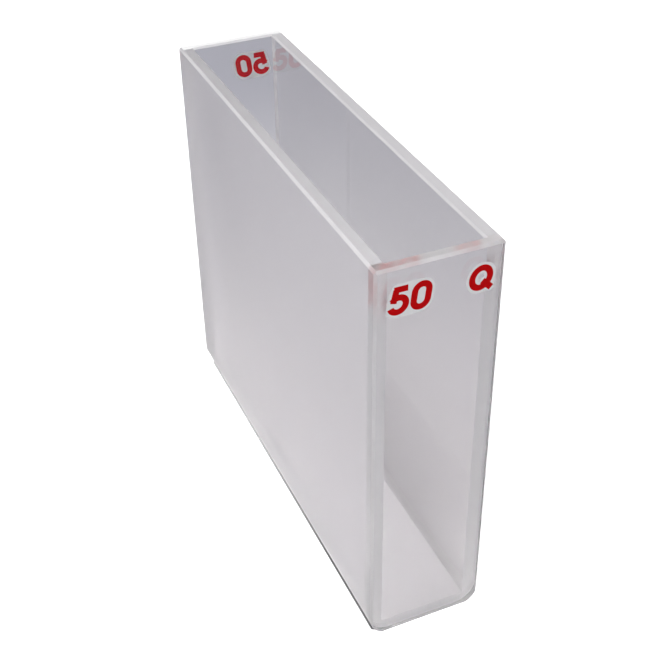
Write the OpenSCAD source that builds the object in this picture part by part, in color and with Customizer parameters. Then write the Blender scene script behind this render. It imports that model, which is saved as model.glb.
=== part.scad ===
// Long-path absorption cell: five flat plates of quartz fused along their edges into an open trough.
// Two polished windows close the ends, two ground plates stand between them and a base closes the foot.
// +Y runs along the light path, +Z is up, and the origin is the middle of the foot.

/* [Cell] */
// Light path, the clear distance between the two windows
light_path = 50; // [10:1:100]
// Width across the outer faces of the side plates
cell_width = 12.5; // [8:0.5:30]
// Height from the foot to the rim
cell_height = 45; // [20:1:80]

/* [Plates] */
// Thickness of each end window
window_thickness = 1.25; // [1:0.05:2.5]
// Thickness of each side plate
side_thickness = 1.5; // [1:0.05:2.5]
// Thickness of the base plate
base_thickness = 1.25; // [1:0.05:3]

/* [Ground edges] */
// Radius of the two long lower edges
foot_radius = 2.4; // [0.5:0.1:3]
// Width of the bevel on the outer edges, measured along each face
edge_bevel = 0.25; // [0.1:0.05:0.4]
// Width of the bevel round the mouth, measured along each face
mouth_bevel = 0.2; // [0.1:0.05:0.4]

/* [Hidden] */

cell_length = light_path + 2 * window_thickness;
inner_width = cell_width - 2 * side_thickness;

// How far a cutting shape runs past the face that it cuts
overrun = 1;
// Facets on a full turn of the rounded foot
foot_facets = 64;

polished_quartz = [0.70, 0.73, 0.78, 0.45];
frosted_quartz = [0.78, 0.77, 0.79];
base_quartz = [0.85, 0.84, 0.85];

// Outline drawn in X and Z, swept along the light path
module along_path(reach) {
    rotate([90, 0, 0])
        linear_extrude(height = reach, center = true)
            children();
}

// Outline drawn in Y and Z, swept across the cell
module across_path(reach) {
    rotate([90, 0, 90])
        linear_extrude(height = reach, center = true)
            children();
}

// Rectangle with its four corners cut at 45 degrees
module bevelled_rectangle(width, height) {
    x = width / 2;
    y = height / 2;
    polygon([
        [edge_bevel - x, -y], [x - edge_bevel, -y],
        [x, edge_bevel - y], [x, y - edge_bevel],
        [x - edge_bevel, y], [edge_bevel - x, y],
        [-x, y - edge_bevel], [-x, edge_bevel - y]
    ]);
}

// What grinding takes off one lower corner of the end outline, beside a centre of rounding at the origin
module foot_corner(side) {
    difference() {
        translate([side < 0 ? -foot_radius - overrun : 0, -foot_radius - overrun])
            square(foot_radius + overrun);
        circle(foot_radius, $fn = foot_facets);
    }
}

// The cell seen along the light path: bevelled at the rim, rounded at the foot
module end_outline() {
    x = cell_width / 2;
    difference() {
        polygon([
            [-x, 0], [x, 0],
            [x, cell_height - edge_bevel], [x - edge_bevel, cell_height],
            [edge_bevel - x, cell_height], [-x, cell_height - edge_bevel]
        ]);
        for (side = [-1, 1])
            translate([side * (x - foot_radius), foot_radius])
                foot_corner(side);
    }
}

// Outer form of the fused cell. Every plate is cut to it, so the ground edges run on across the seams.
module ground_envelope() {
    intersection() {
        along_path(cell_length) end_outline();
        across_path(cell_width + overrun)
            translate([0, cell_height / 2])
                bevelled_rectangle(cell_length, cell_height);
        translate([0, 0, -overrun])
            linear_extrude(cell_height + 2 * overrun)
                bevelled_rectangle(cell_width, cell_length);
    }
}

// Section of the flared cut round the mouth, for an opening of the given width
module flare(opening) {
    foot = cell_height - mouth_bevel - overrun;
    top = cell_height + overrun;
    narrow = opening / 2 - overrun;
    wide = opening / 2 + mouth_bevel + overrun;
    polygon([[-narrow, foot], [narrow, foot], [wide, top], [-wide, top]]);
}

// Cut that bevels the inner edges of the rim
module mouth_flare() {
    intersection() {
        along_path(cell_length + overrun) flare(inner_width);
        across_path(cell_width + overrun) flare(light_path);
    }
}

// A sawn plate, ground to the form of the finished cell
module ground() {
    difference() {
        intersection() {
            children();
            ground_envelope();
        }
        mouth_flare();
    }
}

// Upright plate over the full width and height, at one end of the light path
module window(end) {
    translate([0, end * (light_path + window_thickness) / 2, cell_height / 2])
        cube([cell_width, window_thickness, cell_height], center = true);
}

// Upright plate between the windows, on one side of the light path
module side_plate(side) {
    translate([side * (inner_width + side_thickness) / 2, 0, cell_height / 2])
        cube([side_thickness, light_path, cell_height], center = true);
}

// The window nearest the viewer
module front_window() {
    color(polished_quartz) ground() window(-1);
}

// The window at the far end
module rear_window() {
    color(polished_quartz) ground() window(1);
}

// Ground plate on the left, seen from the front
module left_side_plate() {
    color(frosted_quartz) ground() side_plate(-1);
}

// Ground plate on the right, seen from the front
module right_side_plate() {
    color(frosted_quartz) ground() side_plate(1);
}

// Floor of the cell, set between the four walls and flush with their feet
module base_plate() {
    color(base_quartz)
        ground()
            translate([0, 0, base_thickness / 2])
                cube([inner_width, light_path, base_thickness], center = true);
}

front_window();
rear_window();
left_side_plate();
right_side_plate();
base_plate();
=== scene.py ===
"""Looks of a long-path absorption cell: five quartz plates fused into an open trough, with printed marks.

The plates are sawn and ground by one geometry node tree, from the sizes of the frame's own nodes. Sizes are
in millimetres until a mesh is finished, and in metres after that.
"""

import logging
import math
from dataclasses import dataclass
from enum import Enum
from typing import Any

import bmesh
import bpy
from mathutils import Matrix, Vector
from mathutils.geometry import delaunay_2d_cdt


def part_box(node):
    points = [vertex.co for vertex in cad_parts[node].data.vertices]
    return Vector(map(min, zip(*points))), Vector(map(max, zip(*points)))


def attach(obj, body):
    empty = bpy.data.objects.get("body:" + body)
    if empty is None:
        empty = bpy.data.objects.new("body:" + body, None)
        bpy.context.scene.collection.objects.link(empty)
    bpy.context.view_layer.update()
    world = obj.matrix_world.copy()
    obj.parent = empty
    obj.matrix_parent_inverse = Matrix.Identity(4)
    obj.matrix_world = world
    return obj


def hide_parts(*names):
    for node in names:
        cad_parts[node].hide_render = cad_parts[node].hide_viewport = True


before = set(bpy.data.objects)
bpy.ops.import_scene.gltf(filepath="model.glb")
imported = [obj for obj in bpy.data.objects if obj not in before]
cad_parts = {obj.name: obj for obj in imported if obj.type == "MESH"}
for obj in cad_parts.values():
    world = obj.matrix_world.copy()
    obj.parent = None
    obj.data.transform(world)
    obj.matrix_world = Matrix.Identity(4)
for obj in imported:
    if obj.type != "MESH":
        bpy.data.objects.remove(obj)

LOG = logging.getLogger("cell")
MM = 0.001
BODY = "root"

Colour = tuple[float, float, float]
Point = tuple[float, float]
Socket = bpy.types.NodeSocket

WHITE: Colour = (1.0, 1.0, 1.0)


class Plate(Enum):
    """The five plates, by the names of their nodes."""

    FRONT_WINDOW = "front_window"
    REAR_WINDOW = "rear_window"
    LEFT_SIDE = "left_side_plate"
    RIGHT_SIDE = "right_side_plate"
    BASE = "base_plate"


class Slot(Enum):
    """Names of the material slots."""

    POLISHED = "polished_quartz"
    FROSTED = "frosted_quartz"
    BASE = "base_quartz"
    RED = "red_enamel"
    WHITE = "white_enamel"


class Facing(Enum):
    """The side of the cell that a mark is printed on."""

    FRONT = 0.0
    REAR = math.pi


def opaque(colour: Colour) -> tuple[float, float, float, float]:
    """Adds full opacity to a colour."""
    return (*colour, 1.0)


class NodeMaker:
    """Adds nodes to one node tree and wires them.

    Attributes:
        ONE_NUMBER: Operations on vectors that give one number.
        BLEND_INPUTS: Places of a colour blend's share and two colours among its node's inputs.
        BLEND_OUTPUT: Place of the blended colour among the outputs.
    """

    ONE_NUMBER = ("LENGTH", "DISTANCE", "DOT_PRODUCT")
    BLEND_INPUTS = (0, 6, 7)
    BLEND_OUTPUT = 2

    def __init__(self, tree: bpy.types.NodeTree) -> None:
        """Keeps the tree that the nodes go into."""
        self.tree = tree

    def add(self, kind: str, inputs: dict[str | int, Any] | None = None, **settings: Any) -> bpy.types.Node:
        """Adds one node.

        Args:
            kind: Blender's type name of the node.
            inputs: What its inputs take.
            settings: The node's own settings.

        Returns:
            The new node.
        """
        node = self.tree.nodes.new(kind)
        for name, value in settings.items():
            setattr(node, name, value)
        self.wire(node, inputs or {})
        return node

    def wire(self, node: bpy.types.Node, inputs: dict[str | int, Any]) -> None:
        """Sets a node's inputs.

        Args:
            node: The node.
            inputs: What each input takes, by its name or number: a value, a socket or a list of sockets.
        """
        for key, value in inputs.items():
            for part in value if isinstance(value, list) else [value]:
                if isinstance(part, Socket):
                    self.tree.links.new(part, node.inputs[key])
                else:
                    node.inputs[key].default_value = part

    def number(self, operation: str, *numbers: Any) -> Socket:
        """Works out one number from others, by Blender's name of the operation."""
        return self.add("ShaderNodeMath", dict(enumerate(numbers)), operation=operation).outputs[0]

    def above(self, number: Socket, limit: Any) -> Socket:
        """Tells whether a number is above a limit."""
        return self.number("GREATER_THAN", number, limit)

    def below(self, number: Socket, limit: Any) -> Socket:
        """Tells whether a number is below a limit."""
        return self.number("LESS_THAN", number, limit)

    def vector(self, operation: str, *vectors: Any) -> Socket:
        """Works out a vector or a number from vectors, by Blender's name of the operation."""
        node = self.add("ShaderNodeVectorMath", dict(enumerate(vectors)), operation=operation)
        return node.outputs["Value" if operation in self.ONE_NUMBER else "Vector"]

    def axes(self, vector: Socket) -> list[Socket]:
        """Splits a vector into X, Y and Z."""
        return list(self.add("ShaderNodeSeparateXYZ", {0: vector}).outputs)

    def blend(self, share: Socket, first: Any, second: Any) -> Socket:
        """Blends two colours, by the share of the second one."""
        inputs = dict(zip(self.BLEND_INPUTS, (share, first, second)))
        return self.add("ShaderNodeMix", inputs, data_type="RGBA").outputs[self.BLEND_OUTPUT]

    def ramp(
        self,
        number: Socket,
        span: tuple[Any, Any] = (0.0, 1.0),
        ends: tuple[Any, Any] = (0.0, 1.0),
        smooth: bool = False,
    ) -> Socket:
        """Runs from one end value to another while a number crosses a span.

        Args:
            number: The number.
            span: Where the run starts and stops.
            ends: The values that it starts and stops with.
            smooth: Whether it starts and stops gently.

        Returns:
            The socket with the value.
        """
        return self.add("ShaderNodeMapRange", {
            "Value": number,
            "From Min": span[0],
            "From Max": span[1],
            "To Min": ends[0],
            "To Max": ends[1],
        }, interpolation_type="SMOOTHSTEP" if smooth else "LINEAR").outputs["Result"]


class FinishMaker(NodeMaker):
    """Starts a material that follows the piece's own coordinates, and adds its nodes."""

    def __init__(self, name: str) -> None:
        """Starts the material.

        Args:
            name: Name of the material.
        """
        self.material = bpy.data.materials.new(name)
        self.material.use_nodes = True
        super().__init__(self.material.node_tree)
        self.place = self.add("ShaderNodeTexCoord").outputs["Object"]

    def noise(self, size: float, detail: float) -> Socket:
        """Adds a random pattern of a size in millimetres, with so many finer layers."""
        inputs = {"Vector": self.place, "Scale": 1.0 / (size * MM), "Detail": detail}
        return self.add("ShaderNodeTexNoise", inputs).outputs["Fac"]

    def finish(self, inputs: dict[str, Any]) -> bpy.types.Material:
        """Sets the shader's inputs and gives the finished material."""
        self.wire(self.tree.nodes["Principled BSDF"], inputs)
        return self.material


class ShapeTree(NodeMaker):
    """Geometry node tree with named inputs."""

    def __init__(self, name: str) -> None:
        """Starts the tree.

        Args:
            name: Name of the tree.
        """
        super().__init__(bpy.data.node_groups.new(name, "GeometryNodeTree"))
        self.tree.interface.new_socket("Shape", in_out="OUTPUT", socket_type="NodeSocketGeometry")
        self.entry = self.tree.nodes.new("NodeGroupInput")
        self.keys: dict[str, str] = {}

    def size(self, name: str, kind: str = "Float") -> Socket:
        """Gives the tree's input of that name, made on its first use.

        Args:
            name: Name of the input.
            kind: Kind of value that it takes.

        Returns:
            The socket inside the tree.
        """
        if name not in self.keys:
            made = self.tree.interface.new_socket(name, in_out="INPUT", socket_type=f"NodeSocket{kind}")
            self.keys[name] = made.identifier
        return self.entry.outputs[name]

    def run(self, piece: bpy.types.Object, values: dict[str, Any]) -> bpy.types.Mesh:
        """Runs the tree on an object.

        Args:
            piece: The object.
            values: The tree's inputs by name.

        Returns:
            The result as a plain mesh, named as the object is.
        """
        modifier = piece.modifiers.new(self.tree.name, "NODES")
        modifier.node_group = self.tree
        for name, value in values.items():
            modifier[self.keys[name]] = value
        graph = bpy.context.evaluated_depsgraph_get()
        mesh = bpy.data.meshes.new_from_object(piece.evaluated_get(graph))
        mesh.name = piece.name
        piece.modifiers.remove(modifier)
        return mesh


@dataclass(frozen=True)
class QuartzFinish:
    """One kind of quartz face. Lengths are in millimetres.

    Attributes:
        name: Name of the material.
        tint: Colour of the light that passes.
        roughness: Mean roughness of the face.
        roughness_spread: How far the roughness strays from its mean, over clouds.
        cloud: Size of those clouds.
        cloud_detail: How many finer layers the clouds have.
        grain: Size of the ground grain.
        grain_detail: How many finer layers the grain has.
        relief: Height of the grain; none on a polished face.
        clear: Share of the light that passes, where the rest is scattered back.
        bending: Index of refraction.
    """

    name: str
    tint: Colour
    roughness: float
    roughness_spread: float = 0.08
    cloud: float = 2.0
    cloud_detail: float = 4.0
    grain: float = 0.12
    grain_detail: float = 2.0
    relief: float = 0.0
    clear: float = 1.0
    bending: float = 1.458

    def make(self) -> bpy.types.Material:
        """Builds the material.

        Returns:
            The material.
        """
        maker = FinishMaker(self.name)
        smoothest = max(0.0, self.roughness - self.roughness_spread)
        roughest = self.roughness + self.roughness_spread
        clouds = maker.noise(self.cloud, self.cloud_detail)
        inputs = {
            "Base Color": opaque(self.tint),
            "IOR": self.bending,
            "Transmission Weight": self.clear,
            "Roughness": maker.ramp(clouds, ends=(smoothest, roughest)),
        }
        if self.relief:
            grains = maker.noise(self.grain, self.grain_detail)
            bump = maker.add("ShaderNodeBump", {"Height": grains, "Distance": self.relief * MM})
            inputs["Normal"] = bump.outputs["Normal"]
        return maker.finish(inputs)


@dataclass(frozen=True)
class EnamelFinish:
    """Fired screen print on glass.

    Attributes:
        name: Name of the material.
        thick: Colour where the print lies thick.
        thin: Colour where it lies thin.
        mottle: Size in millimetres of the thick and thin patches.
        mottle_detail: How many finer layers the patches have.
        roughness: Roughness of the print.
        shine: Strength of its reflections, where 0.5 is that of glass.
    """

    name: str
    thick: Colour
    thin: Colour
    mottle: float = 0.35
    mottle_detail: float = 3.0
    roughness: float = 0.55
    shine: float = 0.05

    def make(self) -> bpy.types.Material:
        """Builds the material.

        Returns:
            The material.
        """
        maker = FinishMaker(self.name)
        patches = maker.noise(self.mottle, self.mottle_detail)
        return maker.finish({
            "Base Color": maker.blend(patches, opaque(self.thick), opaque(self.thin)),
            "Roughness": self.roughness,
            "Specular IOR Level": self.shine,
        })


POLISHED = QuartzFinish(
    "polished_face", tint=(0.985, 0.975, 0.98), roughness=0.012, roughness_spread=0.012, cloud=6.0,
)
GROUND = QuartzFinish(
    "ground_face", tint=(0.95, 0.932, 0.952), roughness=0.7, roughness_spread=0.06, cloud=6.0, relief=0.004,
)
GROUND_BEVEL = QuartzFinish("ground_bevel", tint=(0.97, 0.96, 0.965), roughness=0.4, clear=0.65)
# Upright bevels on the left: clearer than the bevel finish that the right-hand upright bevels keep, so that
# those show lighter: painted light, the real corners being ground alike.
GROUND_CORNER = QuartzFinish("ground_corner", tint=(0.97, 0.96, 0.965), roughness=0.4, clear=0.9)
GROUND_EDGE = QuartzFinish(
    "ground_edge", tint=(0.93, 0.92, 0.935), roughness=0.6, relief=0.003, clear=0.8,
)
GROUND_RIM = QuartzFinish(
    "ground_rim", tint=(0.93, 0.92, 0.935), roughness=0.4, relief=0.003, clear=0.93,
)
# Rim of the right side plate: the same ground quartz with more light scattered back, so that it shows
# lighter than the left rim: painted light.
LIGHTER_RIGHT_RIM = QuartzFinish(
    "right_rim_painted_lighter", tint=(0.93, 0.92, 0.935), roughness=0.6, relief=0.003, clear=0.72,
)
WINDOW_RIM = QuartzFinish(
    "window_rim", tint=(1.0, 0.98, 0.985), roughness=0.4, roughness_spread=0.04, clear=0.85,
)
GROUND_END = QuartzFinish(
    "ground_end", tint=(0.985, 0.98, 0.985), roughness=0.5, relief=0.003, clear=0.05,
)
GROUND_FOOT = QuartzFinish(
    "ground_foot", tint=(0.98, 0.975, 0.98), roughness=0.5, relief=0.003, clear=0.75,
)
GROUND_BASE = QuartzFinish(
    "ground_base",
    tint=(1.0, 0.98, 0.99),
    roughness=0.6,
    roughness_spread=0.06,
    cloud=6.0,
    relief=0.004,
    clear=0.0,
)
QUARTZ_FINISHES = (
    POLISHED,
    GROUND,
    GROUND_BEVEL,
    GROUND_CORNER,
    GROUND_EDGE,
    GROUND_RIM,
    LIGHTER_RIGHT_RIM,
    WINDOW_RIM,
    GROUND_END,
    GROUND_FOOT,
    GROUND_BASE,
)
RED_PRINT = EnamelFinish("red_print", thick=(0.36, 0.0, 0.0), thin=(0.72, 0.0, 0.002))
# Red of the print's fused side, seen through the glass: painted lighter than the front red to make up for
# the weaker light that reaches it.
RED_LIT_BACK = EnamelFinish("red_back_painted_lighter", thick=(0.55, 0.0, 0.004), thin=(1.0, 0.01, 0.02))
WHITE_PRINT = EnamelFinish("white_print", thick=WHITE, thin=(0.96, 0.96, 0.96))


@dataclass(frozen=True)
class CellSizes:
    """Sizes of the finished cell in millimetres, with +Y along the light path.

    Attributes:
        width: Across the side plates.
        length: Over both windows.
        height: From the foot to the rim.
        inner_width: Between the side plates.
        light_path: Between the windows.
        foot_radius: Radius of the two long lower edges.
        edge_bevel: Bevel on the outer edges.
        mouth_bevel: Bevel round the mouth.
        seam: Hair gap left where two plates meet.
        overrun: How far a blank or a cutting form runs past the face that is ground.
        grindable: Sides that come this close to the cell's outer box are ground.
    """

    width: float
    length: float
    height: float
    inner_width: float
    light_path: float
    foot_radius: float = 2.4
    edge_bevel: float = 0.25
    mouth_bevel: float = 0.2
    seam: float = 0.01
    overrun: float = 1.0
    grindable: float = 0.5

    @classmethod
    def from_frame(cls) -> "CellSizes":
        """Reads the sizes from the frame's own nodes.

        Returns:
            The sizes.
        """
        front, rear = (cls.node_box(plate) for plate in (Plate.FRONT_WINDOW, Plate.REAR_WINDOW))
        left, right = (cls.node_box(plate) for plate in (Plate.LEFT_SIDE, Plate.RIGHT_SIDE))
        return cls(
            width=front[1].x - front[0].x,
            length=rear[1].y - front[0].y,
            height=front[1].z - front[0].z,
            inner_width=right[0].x - left[1].x,
            light_path=rear[0].y - front[1].y,
        )

    @staticmethod
    def node_box(plate: Plate) -> tuple[Vector, Vector]:
        """Gives a node's lowest and highest corners in millimetres."""
        low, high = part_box(plate.value)
        return Vector(low) / MM, Vector(high) / MM

    @property
    def foot(self) -> Vector:
        """Half width and half length of the flat foot."""
        return Vector((self.width / 2 - self.foot_radius, self.length / 2 - self.edge_bevel, 0.0))

    @property
    def corners(self) -> tuple[Vector, Vector]:
        """The cell's lowest and highest corners."""
        half = Vector((self.width / 2, self.length / 2, 0.0))
        return -half, half + Vector((0.0, 0.0, self.height))


class PlateTree(ShapeTree):
    """Geometry node tree that saws a blank, grinds it to the cell's outer form and dresses its faces.

    Attributes:
        FOOT_STEPS: Straight runs that a rounded lower edge is made of.
        SPARE_RADII: How many foot radii a form of the cell's end runs past the edge that it leaves alone.
        HALVES: Half of each axis.
        FLAT: Turn of an outline that stays in the XY plane.
        UPRIGHT: Turn that stands an outline up, seen along the light path.
        UPRIGHT_ACROSS: Turn that stands an outline up, seen across the cell.
        FACES_IT: A face looks along an axis where its normal is past this.
        LEANS: A face leans towards an axis where its normal is past this.
        SLOPES: A bevel slopes towards an axis where its normal is past this.
    """

    FOOT_STEPS = 16
    SPARE_RADII = 4
    HALVES = (0.5, 0.5, 0.5)
    FLAT = (0.0, 0.0, 0.0)
    UPRIGHT = (math.pi / 2, 0.0, 0.0)
    UPRIGHT_ACROSS = (math.pi / 2, 0.0, math.pi / 2)
    FACES_IT = 0.999
    LEANS = 0.05
    SLOPES = 0.5

    def __init__(self, sizes: CellSizes) -> None:
        """Builds the tree.

        Args:
            sizes: Sizes of the finished cell, which become the tree's named inputs.
        """
        super().__init__("ground_plate")
        self.sizes = sizes
        ground = self.ground(self.blank(), self.outer_forms(), self.mouth_forms())
        self.add("NodeGroupOutput", {0: self.dress(ground)})

    def blank(self) -> Socket:
        """Saws the plate as a plain block between its two corners.

        Returns:
            The block's socket.
        """
        low, high = self.size("Blank Low", "Vector"), self.size("Blank High", "Vector")
        extent = self.vector("SUBTRACT", high, low)
        middle = self.vector("MULTIPLY", self.vector("ADD", high, low), self.HALVES)
        block = self.add("GeometryNodeMeshCube", {"Size": extent}).outputs["Mesh"]
        return self.add("GeometryNodeTransform", {"Geometry": block, "Translation": middle}).outputs[0]

    def rectangle(self, width: Socket, height: Socket, corner: Socket, steps: int = 1) -> Socket:
        """Draws a rectangle with its corners rounded in steps, where one step is a bevel.

        Args:
            width: First size of the rectangle.
            height: Second size of the rectangle.
            corner: How far the corner is cut back along each side.
            steps: Straight runs that the corner is made of.

        Returns:
            The outline's socket.
        """
        outline = self.add("GeometryNodeCurvePrimitiveQuadrilateral", {"Width": width, "Height": height})
        return self.add("GeometryNodeFilletCurve", {
            "Curve": outline.outputs[0],
            "Count": steps,
            "Radius": corner,
        }, mode="POLY").outputs[0]

    def prism(self, outline: Socket, turn: tuple[float, float, float], rise: Any = 0.0) -> Socket:
        """Sweeps an outline through the whole cell.

        Args:
            outline: The outline's socket.
            turn: Turn that brings the outline from the XY plane to its own.
            rise: Height of the outline's middle.

        Returns:
            The solid's socket.
        """
        reach = max(self.sizes.width, self.sizes.length, self.sizes.height)
        path = self.add("GeometryNodeCurvePrimitiveLine", {"Start": (0, 0, -reach), "End": (0, 0, reach)})
        solid = self.add("GeometryNodeCurveToMesh", {
            "Curve": path.outputs[0],
            "Profile Curve": outline,
            "Fill Caps": True,
        })
        place = self.add("ShaderNodeCombineXYZ", {"Z": rise}).outputs[0]
        return self.add("GeometryNodeTransform", {
            "Geometry": solid.outputs[0],
            "Translation": place,
            "Rotation": turn,
        }).outputs[0]

    def outer_forms(self) -> list[Socket]:
        """Makes the solids that bound the cell: its end, its foot, its side and its plan.

        Returns:
            The solids' sockets.
        """
        width, length, height = self.size("Width"), self.size("Length"), self.size("Height")
        bevel, radius = self.size("Edge Bevel"), self.size("Foot Radius")
        middle = self.number("MULTIPLY", height, 0.5)
        taller = self.number("ADD", height, self.sizes.foot_radius * self.SPARE_RADII)
        lifted = self.number("MULTIPLY", taller, 0.5)
        sunk = self.number("SUBTRACT", height, lifted)
        rim = self.rectangle(width, taller, bevel)
        foot = self.rectangle(width, taller, radius, self.FOOT_STEPS)
        side = self.rectangle(length, height, bevel)
        plan = self.rectangle(width, length, bevel)
        return [
            self.prism(rim, self.UPRIGHT, sunk),
            self.prism(foot, self.UPRIGHT, lifted),
            self.prism(side, self.UPRIGHT_ACROSS, middle),
            self.prism(plan, self.FLAT),
        ]

    def mouth_forms(self) -> list[Socket]:
        """Makes the two wedges whose common part bevels the mouth.

        Returns:
            The solids' sockets.
        """
        height, bevel = self.size("Height"), self.size("Mouth Bevel")
        over = self.sizes.overrun
        rise = self.number("SUBTRACT", height, self.number("MULTIPLY", bevel, 0.5))
        grown = self.number("ADD", self.number("MULTIPLY", bevel, 2.0), 2 * over)
        forms = []
        for name, turn in (("Inner Width", self.UPRIGHT), ("Light Path", self.UPRIGHT_ACROSS)):
            opening = self.size(name)
            wedge = self.add("GeometryNodeCurvePrimitiveQuadrilateral", {
                "Bottom Width": self.number("SUBTRACT", opening, 2 * over),
                "Top Width": self.number("ADD", opening, grown),
                "Offset": 0.0,
                "Height": self.number("ADD", bevel, 2 * over),
            }, mode="TRAPEZOID")
            forms.append(self.prism(wedge.outputs[0], turn, rise))
        return forms

    def ground(self, blank: Socket, outer: list[Socket], mouth: list[Socket]) -> Socket:
        """Grinds the blank to the outer form and bevels the mouth.

        Args:
            blank: The sawn block.
            outer: The solids that bound the cell.
            mouth: The wedges whose common part is cut away.

        Returns:
            The plate's socket, in metres.
        """
        form = self.combine("INTERSECT", {1: [blank, *outer]})
        flare = self.combine("INTERSECT", {1: mouth})
        cut = self.combine("DIFFERENCE", {0: form, 1: flare})
        return self.add("GeometryNodeTransform", {"Geometry": cut, "Scale": (MM, MM, MM)}).outputs[0]

    def combine(self, operation: str, solids: dict[int, Any]) -> Socket:
        """Intersects or subtracts solids, by Blender's name of the operation."""
        return self.add("GeometryNodeMeshBoolean", solids, operation=operation, solver="EXACT").outputs[0]

    def dress(self, plate: Socket) -> Socket:
        """Gives each kind of face its own finish, and the bevel finish to what is left.

        Args:
            plate: The ground plate.

        Returns:
            The dressed plate's socket.
        """
        normal = self.add("GeometryNodeInputNormal").outputs[0]
        along = self.vector("DOT_PRODUCT", normal, self.size("Inward", "Vector"))
        x, y, z = self.axes(normal)
        x_share, y_share, z_share = (self.number("ABSOLUTE", axis) for axis in (x, y, z))
        upright = self.below(z_share, self.LEANS)
        leans_down = self.below(z, -self.LEANS)
        across = self.below(y_share, self.LEANS)
        finishes = (
            ("Bevel Finish", True),
            # The clearer finish on the left upright bevels leaves the right-hand ones lighter: painted
            # light.
            ("Left Corner Finish", self.number("MULTIPLY", upright, self.below(x, self.SLOPES))),
            ("Low Bevel Finish", leans_down),
            ("Mouth Finish", self.above(along, self.SLOPES)),
            ("Edge Finish", self.above(x_share, self.FACES_IT)),
            ("Rim Finish", self.above(z, self.FACES_IT)),
            ("End Finish", self.above(y_share, self.FACES_IT)),
            ("Foot Finish", self.number("MULTIPLY", leans_down, across)),
            ("Outer Finish", self.below(along, -self.FACES_IT)),
            ("Inner Finish", self.above(along, self.FACES_IT)),
        )
        dressed = self.add("GeometryNodeRealizeInstances", {"Geometry": plate}).outputs[0]
        for finish, selection in finishes:
            dressed = self.add("GeometryNodeSetMaterial", {
                "Geometry": dressed,
                "Selection": selection,
                "Material": self.size(finish, "Material"),
            }).outputs[0]
        return dressed


@dataclass(frozen=True)
class PlatePlan:
    """How one plate is cut and finished.

    Attributes:
        plate: The plate.
        slot: Name of a material slot; not used.
        inward: Direction that its inner face looks in.
        inner: Finish of its inner face.
        outer: Finish of its outer face.
        rim: Finish of its upper edge.
        mouth: Finish of the bevel beside the mouth.
        edge: Finish of its edges on the left and right.
        meets: Axes along which its edges meet other plates, so that it is cut short by the seam.
    """

    plate: Plate
    slot: Slot
    inward: tuple[int, int, int]
    inner: QuartzFinish
    outer: QuartzFinish
    rim: QuartzFinish = GROUND_RIM
    mouth: QuartzFinish = GROUND_BEVEL
    edge: QuartzFinish = GROUND_EDGE
    meets: str = ""


PLANS = (
    PlatePlan(
        Plate.FRONT_WINDOW,
        Slot.POLISHED,
        inward=(0, 1, 0),
        inner=POLISHED,
        outer=POLISHED,
        rim=WINDOW_RIM,
        mouth=WINDOW_RIM,
    ),
    PlatePlan(
        Plate.REAR_WINDOW,
        Slot.POLISHED,
        inward=(0, -1, 0),
        inner=POLISHED,
        outer=POLISHED,
        rim=GROUND_END,
    ),
    PlatePlan(Plate.LEFT_SIDE, Slot.FROSTED, inward=(1, 0, 0), inner=POLISHED, outer=GROUND, meets="y"),
    PlatePlan(
        Plate.RIGHT_SIDE,
        Slot.FROSTED,
        inward=(-1, 0, 0),
        inner=POLISHED,
        outer=GROUND,
        # Painted lighter rim on this side.
        rim=LIGHTER_RIGHT_RIM,
        meets="y",
    ),
    PlatePlan(
        Plate.BASE,
        Slot.BASE,
        inward=(0, 0, 1),
        inner=GROUND_BASE,
        outer=GROUND_BASE,
        edge=GROUND_END,
        meets="xy",
    ),
)


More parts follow.
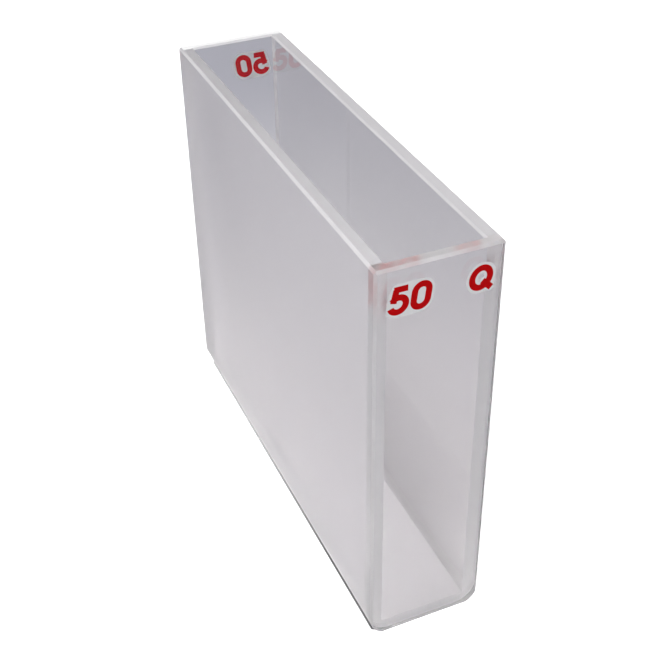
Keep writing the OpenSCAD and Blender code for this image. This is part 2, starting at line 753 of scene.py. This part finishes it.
@dataclass
class FusedCell:
    """The five plates of the cell.

    Attributes:
        sizes: Sizes of the finished cell.
        smooth_angle: Edges flatter than this are shaded as round.
    """

    sizes: CellSizes
    smooth_angle: float = math.radians(20)

    def build(self) -> list[bpy.types.Object]:
        """Makes every plate and puts it in place of its node.

        Returns:
            The plates.
        """
        tree = PlateTree(self.sizes)
        finishes = {finish: finish.make() for finish in QUARTZ_FINISHES}
        return [self.make_plate(tree, plan, finishes) for plan in PLANS]

    def blank_corners(self, plan: PlatePlan) -> tuple[Vector, Vector]:
        """Works out the block that a plate is ground from.

        Args:
            plan: The plate's plan.

        Returns:
            The block's corners: past the cell's outer form, short of a seam and true to the node elsewhere.
        """
        low, high = CellSizes.node_box(plan.plate)
        cell_low, cell_high = self.sizes.corners
        for axis, name in enumerate("xyz"):
            short = self.sizes.seam if name in plan.meets else 0.0
            low_is_ground = low[axis] - cell_low[axis] < self.sizes.grindable
            high_is_ground = cell_high[axis] - high[axis] < self.sizes.grindable
            low[axis] += -self.sizes.overrun if low_is_ground else short
            high[axis] -= -self.sizes.overrun if high_is_ground else short
        return low, high

    def make_plate(
        self,
        tree: PlateTree,
        plan: PlatePlan,
        finishes: dict[QuartzFinish, bpy.types.Material],
    ) -> bpy.types.Object:
        """Makes one plate.

        Args:
            tree: The tree that grinds it.
            plan: How it is cut and finished.
            finishes: The material of each finish.

        Returns:
            The plate, riding on the cell's body.
        """
        name = f"{plan.plate.value}_quartz"
        plate = bpy.data.objects.new(name, bpy.data.meshes.new(name))
        bpy.context.collection.objects.link(plate)
        low, high = self.blank_corners(plan)
        plate.data = tree.run(plate, {
            "Blank Low": low,
            "Blank High": high,
            "Width": self.sizes.width,
            "Length": self.sizes.length,
            "Height": self.sizes.height,
            "Inner Width": self.sizes.inner_width,
            "Light Path": self.sizes.light_path,
            "Foot Radius": self.sizes.foot_radius,
            "Edge Bevel": self.sizes.edge_bevel,
            "Mouth Bevel": self.sizes.mouth_bevel,
            "Inward": Vector(plan.inward),
            "Bevel Finish": finishes[GROUND_BEVEL],
            "Left Corner Finish": finishes[GROUND_CORNER],
            "Low Bevel Finish": finishes[GROUND_END],
            "Mouth Finish": finishes[plan.mouth],
            "Edge Finish": finishes[plan.edge],
            "Rim Finish": finishes[plan.rim],
            "End Finish": finishes[GROUND_END],
            "Foot Finish": finishes[GROUND_FOOT],
            "Outer Finish": finishes[plan.outer],
            "Inner Finish": finishes[plan.inner],
        })
        plate.data.shade_smooth()
        plate.data.set_sharp_from_angle(angle=self.smooth_angle)
        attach(plate, BODY)
        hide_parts(plan.plate.value)
        LOG.info("%s: %d faces", name, len(plate.data.polygons))
        return plate


@dataclass(frozen=True)
class Stroke:
    """Centre line of one stroke, in a letter whose lines fill a box one unit wide and one unit high.

    Attributes:
        points: The points of the line.
        closed: Whether its end runs on into its start.
        FULL_TURN: A whole turn in degrees.
        STEP: Turn in degrees from one point of an arc to the next.
        FEWEST_STEPS: Steps that the shortest arc still has.
    """

    points: tuple[Point, ...]
    closed: bool = False

    FULL_TURN = 360
    STEP = 9
    FEWEST_STEPS = 12

    @classmethod
    def line(cls, start: Point, end: Point) -> "Stroke":
        """Draws a straight stroke."""
        return cls((start, end))

    @classmethod
    def arc(cls, middle: Point, radii: Point, start: float, turn: float) -> "Stroke":
        """Draws a stroke along an ellipse.

        Args:
            middle: Middle of the ellipse.
            radii: Its half width and half height.
            start: Angle of the first point in degrees, from the right and anticlockwise.
            turn: Angle that the stroke runs through, clockwise if negative.

        Returns:
            The stroke, closed where it runs through a whole turn.
        """
        closed = abs(turn) >= cls.FULL_TURN
        steps = max(cls.FEWEST_STEPS, round(abs(turn) / cls.STEP))
        angles = [math.radians(start + turn * step / steps) for step in range(steps + (not closed))]
        points = ((middle[0] + radii[0] * math.cos(a), middle[1] + radii[1] * math.sin(a)) for a in angles)
        return cls(tuple(points), closed)

    def placed(self, low: Vector, size: Vector, slant: float, longer: float) -> list[Vector]:
        """Brings the stroke to its place on a window.

        Args:
            low: Lower left corner of the letter's box.
            size: Width and height of that box.
            slant: How far the letter leans, as a share of its height.
            longer: How far each open end is drawn out.

        Returns:
            The points of the line, in the units of the box.
        """
        line = [
            Vector((low.x + size.x * x + slant * size.y * y, low.y + size.y * y, 0.0))
            for x, y in self.points
        ]
        if not self.closed:
            head = line[0] + (line[0] - line[1]).normalized() * longer
            tail = line[-1] + (line[-1] - line[-2]).normalized() * longer
            line = [head, *line[1:-1], tail]
        return line


RING = Stroke.arc((0.5, 0.5), (0.5, 0.5), start=0, turn=Stroke.FULL_TURN)
OVAL = Stroke(
    Stroke.arc((0.5, 0.7), (0.5, 0.3), start=0, turn=180).points
    + Stroke.arc((0.5, 0.3), (0.5, 0.3), start=180, turn=180).points,
    closed=True,
)
LETTERS: dict[str, tuple[Stroke, ...]] = {
    "0": (OVAL,),
    "5": (
        Stroke.line((0.02, 1.0), (1.0, 1.0)),
        Stroke.line((0.2, 1.0), (0.1, 0.42)),
        Stroke.arc((0.46, 0.32), (0.54, 0.32), start=150, turn=-310),
    ),
    "Q": (RING, Stroke.line((0.6, 0.33), (1.2, -0.12))),
}


@dataclass(frozen=True)
class Mark:
    """A short printed mark and the rectangle that its red strokes fill, in millimetres.

    Attributes:
        name: Name of the mark.
        words: What it says.
        facing: The window that it is on.
        left: Left end, seen from outside, measured from the middle of the window.
        right: Right end, measured the same way.
        low: Lower edge above the foot.
        high: Upper edge above the foot.
    """

    name: str
    words: str
    facing: Facing
    left: float
    right: float
    low: float
    high: float


MARKS = (
    Mark("path_mark", "50", Facing.FRONT, left=-5.05, right=-1.0, low=40.2, high=43.08),
    Mark("quartz_mark", "Q", Facing.FRONT, left=2.6, right=4.95, low=40.5, high=43.1),
    Mark("rear_path_mark", "50", Facing.REAR, left=-4.6, right=-0.55, low=40.0, high=42.8),
)


class PrintTree(ShapeTree):
    """Geometry node tree that lays flat strokes of one width along their centre lines.

    Attributes:
        DISC_SIDES: Sides of the disc that rounds a stroke's end.
    """

    DISC_SIDES = 24

    def __init__(self) -> None:
        """Builds the tree."""
        super().__init__("printed_strokes")
        lines = self.size("Lines", "Geometry")
        half = self.number("MULTIPLY", self.size("Stroke"), 0.5)
        left, right = (
            self.add("ShaderNodeCombineXYZ", {"X": side}).outputs[0]
            for side in (self.number("MULTIPLY", half, -1.0), half)
        )
        width = self.add("GeometryNodeCurvePrimitiveLine", {"Start": left, "End": right}).outputs[0]
        swept = self.add("GeometryNodeCurveToMesh", {"Curve": lines, "Profile Curve": width}).outputs[0]
        disc = self.add("GeometryNodeMeshCircle", {
            "Vertices": self.DISC_SIDES,
            "Radius": half,
        }, fill_type="NGON").outputs["Mesh"]
        ends = self.add("GeometryNodeInstanceOnPoints", {
            "Points": lines,
            "Selection": self.add("GeometryNodeCurveEndpointSelection").outputs[0],
            "Instance": disc,
        }).outputs[0]
        capped = self.add("GeometryNodeSwitch", {
            "Switch": self.size("Round Ends", "Bool"),
            "True": ends,
        }, input_type="GEOMETRY").outputs[0]
        joined = self.add("GeometryNodeJoinGeometry", {0: [swept, capped]}).outputs[0]
        whole = self.add("GeometryNodeRealizeInstances", {"Geometry": joined}).outputs[0]
        ink = self.size("Ink", "Material")
        inked = self.add("GeometryNodeSetMaterial", {"Geometry": whole, "Material": ink}).outputs[0]
        self.add("NodeGroupOutput", {0: inked})


@dataclass
class PrintedMarks:
    """Marks fired on the windows' outer faces: red strokes with a white border. Lengths are in millimetres.

    Attributes:
        sizes: Sizes of the cell.
        stroke: Width of a red stroke.
        border: Width of the white border.
        spacing: Clear space between letters.
        slant: How far the letters lean, as a share of their height.
        layer: Thickness of the white print.
        fired: How far the white print is fused into the glass.
        proud: How far the red stands out from the white, in front and behind.
        grain: Points of a print that are closer than this are one.
        WHOLE_HULL: Kind of triangulation that fills the hull of its points.
        UNDERSIDE: Place among a print's finishes of the one for its fused side.
    """

    sizes: CellSizes
    stroke: float = 0.62
    border: float = 0.27
    spacing: float = 0.12
    slant: float = 0.12
    layer: float = 0.012
    fired: float = 0.004
    proud: float = 0.0015
    grain: float = 0.0001

    WHOLE_HULL = 0
    UNDERSIDE = 1

    def build(self) -> list[bpy.types.Object]:
        """Prints every mark.

        Returns:
            The white and red pieces.
        """
        tree = PrintTree()
        # The red strokes' fused side takes the painted lighter red.
        red, back, white = (finish.make() for finish in (RED_PRINT, RED_LIT_BACK, WHITE_PRINT))
        layers = (("border", (white, white), Slot.WHITE), ("strokes", (red, back), Slot.RED))
        pieces = []
        for mark in MARKS:
            for layer, inks, slot in layers:
                pieces.append(self.print_layer(tree, f"{mark.name}_{layer}", mark, inks, slot))
        return pieces

    def letter_lines(self, mark: Mark, longer: float) -> bpy.types.Curve:
        """Draws the centre lines of a mark's letters.

        Args:
            mark: The mark.
            longer: How far each open end is drawn out.

        Returns:
            A curve in the XY plane, with X to the right and Y up.
        """
        curve = bpy.data.curves.new(f"{mark.name}_lines", "CURVE")
        curve.dimensions = "3D"
        count = len(mark.words)
        wide = (mark.right - mark.left - self.spacing * (count - 1)) / count
        size = Vector((wide - self.stroke, mark.high - mark.low - self.stroke))
        inset = Vector((self.stroke, self.stroke)) / 2
        for place, letter in enumerate(mark.words):
            low = Vector((mark.left + place * (wide + self.spacing), mark.low)) + inset
            for stroke in LETTERS[letter]:
                line = stroke.placed(low, size, self.slant, longer)
                spline = curve.splines.new("POLY")
                spline.points.add(len(line) - 1)
                spline.use_cyclic_u = stroke.closed
                for point, co in zip(spline.points, line):
                    point.co = (*co, 1.0)
        return curve

    def make_slab(self, strokes: bpy.types.Mesh, low: float, high: float) -> None:
        """Makes flat strokes that lie over each other one closed slab.

        Args:
            strokes: The flat strokes, in the XY plane.
            low: Height of the slab's underside.
            high: Height of its upper side.
        """
        points = [vertex.co.to_2d() for vertex in strokes.vertices]
        areas = [list(face.vertices) for face in strokes.polygons]
        points, _, areas, _, _, origins = delaunay_2d_cdt(points, [], areas, self.WHOLE_HULL, self.grain)
        slab = bmesh.new()
        corners = [slab.verts.new((*point, low)) for point in points]
        inked = [area for area, origin in zip(areas, origins) if origin]
        lower = [slab.faces.new([corners[place] for place in area]) for area in inked]
        unused = [corner for corner in corners if not corner.link_faces]
        bmesh.ops.delete(slab, geom=unused, context="VERTS")
        raised = bmesh.ops.extrude_face_region(slab, geom=lower, use_keep_orig=True)["geom"]
        upper = [item for item in raised if isinstance(item, bmesh.types.BMVert)]
        bmesh.ops.translate(slab, verts=upper, vec=(0.0, 0.0, high - low))
        for face in lower:
            face.material_index = self.UNDERSIDE
        bmesh.ops.recalc_face_normals(slab, faces=slab.faces)
        slab.to_mesh(strokes)
        slab.free()

    def print_layer(
        self,
        tree: PrintTree,
        name: str,
        mark: Mark,
        inks: tuple[bpy.types.Material, bpy.types.Material],
        slot: Slot,
    ) -> bpy.types.Object:
        """Prints one colour of a mark.

        Args:
            tree: The tree that prints strokes.
            name: Name of the piece.
            mark: The mark.
            inks: Finish of the print, and its finish where it is fused with the glass, which for the red
                print is painted lighter to make up for the weaker light there.
            slot: Name of the layer's material slot, which tells the white border from the red strokes.

        Returns:
            The piece, riding on the cell's body.
        """
        is_border = slot is Slot.WHITE
        wider = self.border if is_border else 0.0
        thicker = 0.0 if is_border else self.proud
        longer = -self.stroke / 2 if is_border else 0.0
        lines = bpy.data.objects.new(f"{name}_lines", self.letter_lines(mark, longer))
        bpy.context.collection.objects.link(lines)
        mesh = tree.run(lines, {
            "Stroke": self.stroke + 2 * wider,
            "Round Ends": is_border,
            "Ink": inks[0],
        })
        bpy.data.objects.remove(lines)
        mesh.name = name
        mesh.materials.append(inks[self.UNDERSIDE])
        self.make_slab(mesh, low=-self.fired - thicker, high=self.layer - self.fired + thicker)
        upright = Matrix.Rotation(math.pi / 2, 4, "X")
        outward = Matrix.Translation((0, -self.sizes.length / 2, 0))
        turned = Matrix.Rotation(mark.facing.value, 4, "Z")
        mesh.transform(Matrix.Scale(MM, 4) @ turned @ outward @ upright)
        piece = bpy.data.objects.new(name, mesh)
        bpy.context.collection.objects.link(piece)
        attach(piece, BODY)
        LOG.info("%s: %d faces", name, len(mesh.polygons))
        return piece


@dataclass(frozen=True)
class Softbox:
    """A soft light that faces the cell. Lengths are in metres.

    Attributes:
        name: Name of the light.
        place: Its place.
        width: Its width.
        length: Its length.
        power: Its power in watts.
    """

    name: str
    place: tuple[float, float, float]
    width: float
    length: float
    power: float

    def hang(self, target: Vector) -> None:
        """Hangs the light.

        Args:
            target: The point that it faces.
        """
        light = bpy.data.lights.new(self.name, "AREA")
        light.shape = "RECTANGLE"
        light.size = self.width
        light.size_y = self.length
        light.energy = self.power
        lamp = bpy.data.objects.new(self.name, light)
        away = Vector(self.place) - target
        turn = away.to_track_quat("Z", "Y").to_matrix().to_4x4()
        lamp.matrix_world = Matrix.Translation(self.place) @ turn
        bpy.context.collection.objects.link(lamp)


LIGHTS = (
    Softbox("key_light", place=(-0.17, -0.03, 0.45), width=0.06, length=0.06, power=0.63),
    Softbox("left_light", place=(-0.30, -0.03, 0.35), width=0.10, length=0.10, power=0.79),
    Softbox("front_light", place=(-0.16, -0.38, 0.30), width=0.25, length=0.25, power=0.79),
    Softbox("low_front_light", place=(0.0, -0.50, 0.06), width=0.12, length=0.12, power=0.36),
    Softbox("back_right_light", place=(0.30, 0.30, 0.30), width=0.25, length=0.25, power=0.93),
    Softbox("back_left_light", place=(-0.30, 0.30, 0.30), width=0.25, length=0.25, power=0.23),
)


@dataclass(frozen=True)
class PaleFloor:
    """Plain floor. It shows as a pale sheet with a painted shadow beside the foot, and the glass sees a
    bench with a painted pool of light near the cell and painted glows round the foot.

    Attributes:
        foot: Half width and half length of the foot that rests on it, in metres.
        half_path: Half of the light path in metres, where the windows begin.
        window: Half width of the windows and half length over both, in metres.
        size: Side of the floor in metres.
        drop: Hair gap under the foot in metres.
        roughness: Roughness of the floor.
        pale: Colour that shows.
        shade: Colour of the painted shadow beside the foot.
        lift: Extra brightness that shows.
        lit: Colour near the cell, as the glass sees it: a painted pool of light.
        dim: Colour far from the cell, as the glass sees it, outside the painted pool of light.
        lit_reach: Distance in metres within which the painted light is full.
        dim_reach: Distance in metres beyond which the painted light is gone.
        front_glow: Extra painted glow under and beside the front of the foot, as the glass sees it.
        rear_glow: Extra painted glow under and beside its rear.
        strip_reach: How far in metres a painted bright strip under the front window runs out before it.
        strip_glow: Extra painted glow in that strip.
        patch: Middle of a painted bright patch beside the front of the cell, in metres.
        patch_reach: Distance in metres at which that patch ends.
        patch_glow: Extra painted glow in its middle.
        dark_reach: Distance in metres left of the foot within which the floor lies in its full painted
            shadow.
        shadow_reach: Distance in metres at which that painted shadow ends.
        cast: How far in metres the painted shadow lies to the right, away from the key light.
        end_slope: How much narrower the painted shadow gets for each step towards the ends of the foot.
        end_start: How far in metres before those ends it starts to narrow.
        front: Place in metres along the light path up to which the painted shadow is deepest.
        rear: Place from which it is faintest.
        faintness: How deep it is there.
    """

    foot: Vector
    half_path: float
    window: Vector
    size: float = 6.0
    drop: float = 0.00002
    roughness: float = 0.9
    pale: Colour = (0.93, 0.93, 0.93)
    shade: Colour = (0.12, 0.115, 0.12)
    lift: float = 0.75
    lit: Colour = (0.90, 0.885, 0.89)
    dim: Colour = (0.445, 0.45, 0.505)
    lit_reach: float = 0.02
    dim_reach: float = 0.12
    front_glow: float = 0.1
    rear_glow: float = 0.7
    strip_reach: float = 0.0015
    strip_glow: float = 0.6
    patch: tuple[float, float, float] = (0.018, -0.024, 0.0)
    patch_reach: float = 0.016
    patch_glow: float = 0.38
    dark_reach: float = 0.00226
    shadow_reach: float = 0.00248
    cast: float = 0.00046
    end_slope: float = 2.0
    end_start: float = 0.00065
    front: float = -0.014
    rear: float = 0.012
    faintness: float = 0.72

    def lay(self) -> None:
        """Lays the floor."""
        half = self.size / 2
        mesh = bpy.data.meshes.new("floor")
        corners = [(-half, -half), (half, -half), (half, half), (-half, half)]
        mesh.from_pydata([(x, y, -self.drop) for x, y in corners], [], [(0, 1, 2, 3)])
        mesh.materials.append(self.make())
        floor = bpy.data.objects.new("floor", mesh)
        bpy.context.collection.objects.link(floor)

    def make(self) -> bpy.types.Material:
        """Builds the floor's material.

        Returns:
            The material.
        """
        maker = FinishMaker("pale_floor")
        seen = maker.add("ShaderNodeLightPath").outputs["Is Camera Ray"]
        # Painted light that only the glass sees: the bench is lit near the cell and dim far off.
        away = maker.vector("LENGTH", maker.place)
        fade = maker.ramp(away, (self.lit_reach, self.dim_reach), smooth=True)
        bench = maker.blend(fade, opaque(self.lit), opaque(self.dim))
        # Painted shadow beside the foot, deepest at the front: there the floor shows the shade colour and
        # loses its lift.
        under = self.under_foot(maker)
        depth = self.along_foot(maker, 1.0, self.faintness)
        open_floor = maker.number("SUBTRACT", 1.0, maker.number("MULTIPLY", under, depth))
        sheet = maker.blend(open_floor, opaque(self.shade), opaque(self.pale))
        lift = maker.number("MULTIPLY", open_floor, self.lift)
        return maker.finish({
            "Base Color": maker.blend(seen, bench, sheet),
            "Roughness": self.roughness,
            "Specular IOR Level": 0.0,
            "Emission Color": opaque(WHITE),
            "Emission Strength": maker.ramp(seen, ends=(self.bench_glow(maker, under), lift)),
        })

    def bench_glow(self, maker: FinishMaker, under: Socket) -> Socket:
        """Adds up the painted glow that the glass sees.

        Args:
            maker: Adds the nodes.
            under: The socket that tells whether a point lies under the foot.

        Returns:
            The socket with the brightness.
        """
        foot = maker.number("MULTIPLY", under, self.along_foot(maker, self.front_glow, self.rear_glow))
        apart = maker.vector("DISTANCE", maker.place, self.patch)
        patch = maker.ramp(apart, (0.0, self.patch_reach), (self.patch_glow, 0.0), smooth=True)
        strip = maker.number("MULTIPLY", self.at_window(maker), self.strip_glow)
        return maker.number("ADD", maker.number("ADD", foot, patch), strip)

    def along_foot(self, maker: FinishMaker, front: float, rear: float) -> Socket:
        """Fades a number from its value at the front of the foot to that at its rear."""
        _, y, _ = maker.axes(maker.place)
        return maker.ramp(y, (self.front, self.rear), (front, rear))

    def at_window(self, maker: FinishMaker) -> Socket:
        """Works out whether a point of the floor lies under the front window or close before it, where the
        painted bright strip lies.

        Args:
            maker: Adds the nodes.

        Returns:
            The socket with a number from 0, elsewhere, to 1, under the window.
        """
        x, y, _ = maker.axes(maker.place)
        inside = maker.below(maker.number("ABSOLUTE", x), self.window.x)
        under = maker.below(y, -self.half_path)
        before = maker.ramp(y, (-self.window.y - self.strip_reach, -self.window.y), smooth=True)
        return maker.number("MULTIPLY", inside, maker.number("MULTIPLY", under, before))

    def under_foot(self, maker: FinishMaker) -> Socket:
        """Works out how far a point of the floor lies in the painted shadow under the foot or its rounded
        edges.

        Args:
            maker: Adds the nodes.

        Returns:
            The socket with a number from 0, in the open, to 1, in the painted shadow under the foot.
        """
        cast = (self.cast, 0.0, 0.0)
        narrowed = (1.0, self.end_slope, 0.0)
        middle = self.foot - Vector((0.0, self.end_start, 0.0))
        aside = maker.vector("ABSOLUTE", maker.vector("SUBTRACT", maker.place, cast))
        beside = maker.vector("MAXIMUM", maker.vector("SUBTRACT", aside, middle), (0.0, 0.0, 0.0))
        gap = maker.vector("DOT_PRODUCT", beside, narrowed)
        x, _, _ = maker.axes(maker.place)
        _, along, _ = maker.axes(aside)
        dark_reach = maker.ramp(x, (-self.foot.x, self.foot.x), (self.dark_reach, 0.0))
        covered = maker.ramp(gap, (dark_reach, self.shadow_reach), (1.0, 0.0), smooth=True)
        return maker.number("MULTIPLY", covered, maker.below(along, self.foot.y))


@dataclass(frozen=True)
class PhotoView:
    """The photograph's point of view, found from the cell's edges, in degrees and metres.

    Attributes:
        azimuth: Turn about the vertical from looking along +Y.
        elevation: Height above the horizon.
        roll: Tilt about the line of sight.
        distance: From the camera to the middle of the cell, along the line of sight.
        aside: How far the middle of the cell lies right of the line of sight.
        above: How far it lies above the line of sight.
        lens: Focal length in millimetres on a frame 36 mm wide.
        nearest: Distance from the camera at which things start to show.
    """

    azimuth: float = -23.01
    elevation: float = 35.685
    roll: float = -0.969
    distance: float = 0.131073
    aside: float = -0.000656
    above: float = 0.00162
    lens: float = 64.82
    nearest: float = 0.001

    def matrix(self, middle: float) -> Matrix:
        """Works out where the camera stands.

        Args:
            middle: Height of the middle of the cell.

        Returns:
            The camera's world matrix.
        """
        turn = Matrix.Rotation(math.radians(self.azimuth), 4, "Z")
        tilt = Matrix.Rotation(math.radians(90 - self.elevation), 4, "X")
        roll = Matrix.Rotation(math.radians(self.roll), 4, "Z")
        offset = Matrix.Translation((-self.aside, -self.above, self.distance))
        return Matrix.Translation((0.0, 0.0, middle)) @ turn @ tilt @ roll @ offset


@dataclass
class Studio:
    """Pale floor, soft light and the camera at the photograph's angle.

    Attributes:
        sizes: Sizes of the cell.
        room: Brightness of the even light of the room.
        backdrop: Brightness of the room where it shows beyond the floor.
        room_tint: Colour of that light.
        bounces: How often light is followed through and between the plates.
    """

    sizes: CellSizes
    room: float = 0.05
    backdrop: float = 0.78
    room_tint: Colour = (0.98, 0.97, 1.0)
    bounces: int = 32

    def build(self) -> None:
        """Builds the floor, the lights and the camera."""
        sizes = self.sizes
        middle = sizes.height / 2 * MM
        PaleFloor(sizes.foot * MM, sizes.light_path / 2 * MM, sizes.corners[1] * MM).lay()
        self.light_room()
        for light in LIGHTS:
            light.hang(Vector((0.0, 0.0, middle)))
        self.make_camera(middle)

    def light_room(self) -> None:
        """Sets the even light of the room, how far light is followed and plain display colours."""
        world = bpy.data.worlds.new("room")
        world.use_nodes = True
        maker = NodeMaker(world.node_tree)
        seen = maker.add("ShaderNodeLightPath").outputs["Is Camera Ray"]
        maker.wire(world.node_tree.nodes["Background"], {
            "Color": opaque(self.room_tint),
            "Strength": maker.ramp(seen, ends=(self.room, self.backdrop)),
        })
        bpy.context.scene.world = world
        bpy.context.scene.view_settings.view_transform = "Standard"
        tracing = bpy.context.scene.cycles
        tracing.max_bounces = self.bounces
        tracing.transmission_bounces = self.bounces
        tracing.diffuse_bounces = self.bounces // 2
        tracing.glossy_bounces = self.bounces // 2

    def make_camera(self, middle: float) -> None:
        """Sets the camera at the photograph's viewing angle.

        Args:
            middle: Height of the middle of the cell in metres.
        """
        view = PhotoView()
        data = bpy.data.cameras.new("photo_camera")
        data.lens = view.lens
        data.clip_start = view.nearest
        camera = bpy.data.objects.new("photo_camera", data)
        camera.matrix_world = view.matrix(middle)
        bpy.context.collection.objects.link(camera)
        bpy.context.scene.camera = camera


def main() -> None:
    """Builds the cell, its marks and the studio."""
    logging.basicConfig(level=logging.INFO, format="%(name)s %(message)s")
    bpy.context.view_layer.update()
    sizes = CellSizes.from_frame()
    plates = FusedCell(sizes).build()
    prints = PrintedMarks(sizes).build()
    Studio(sizes).build()
    LOG.info("whole cell: %d plates and %d prints", len(plates), len(prints))


if __name__ == "__main__":
    main()
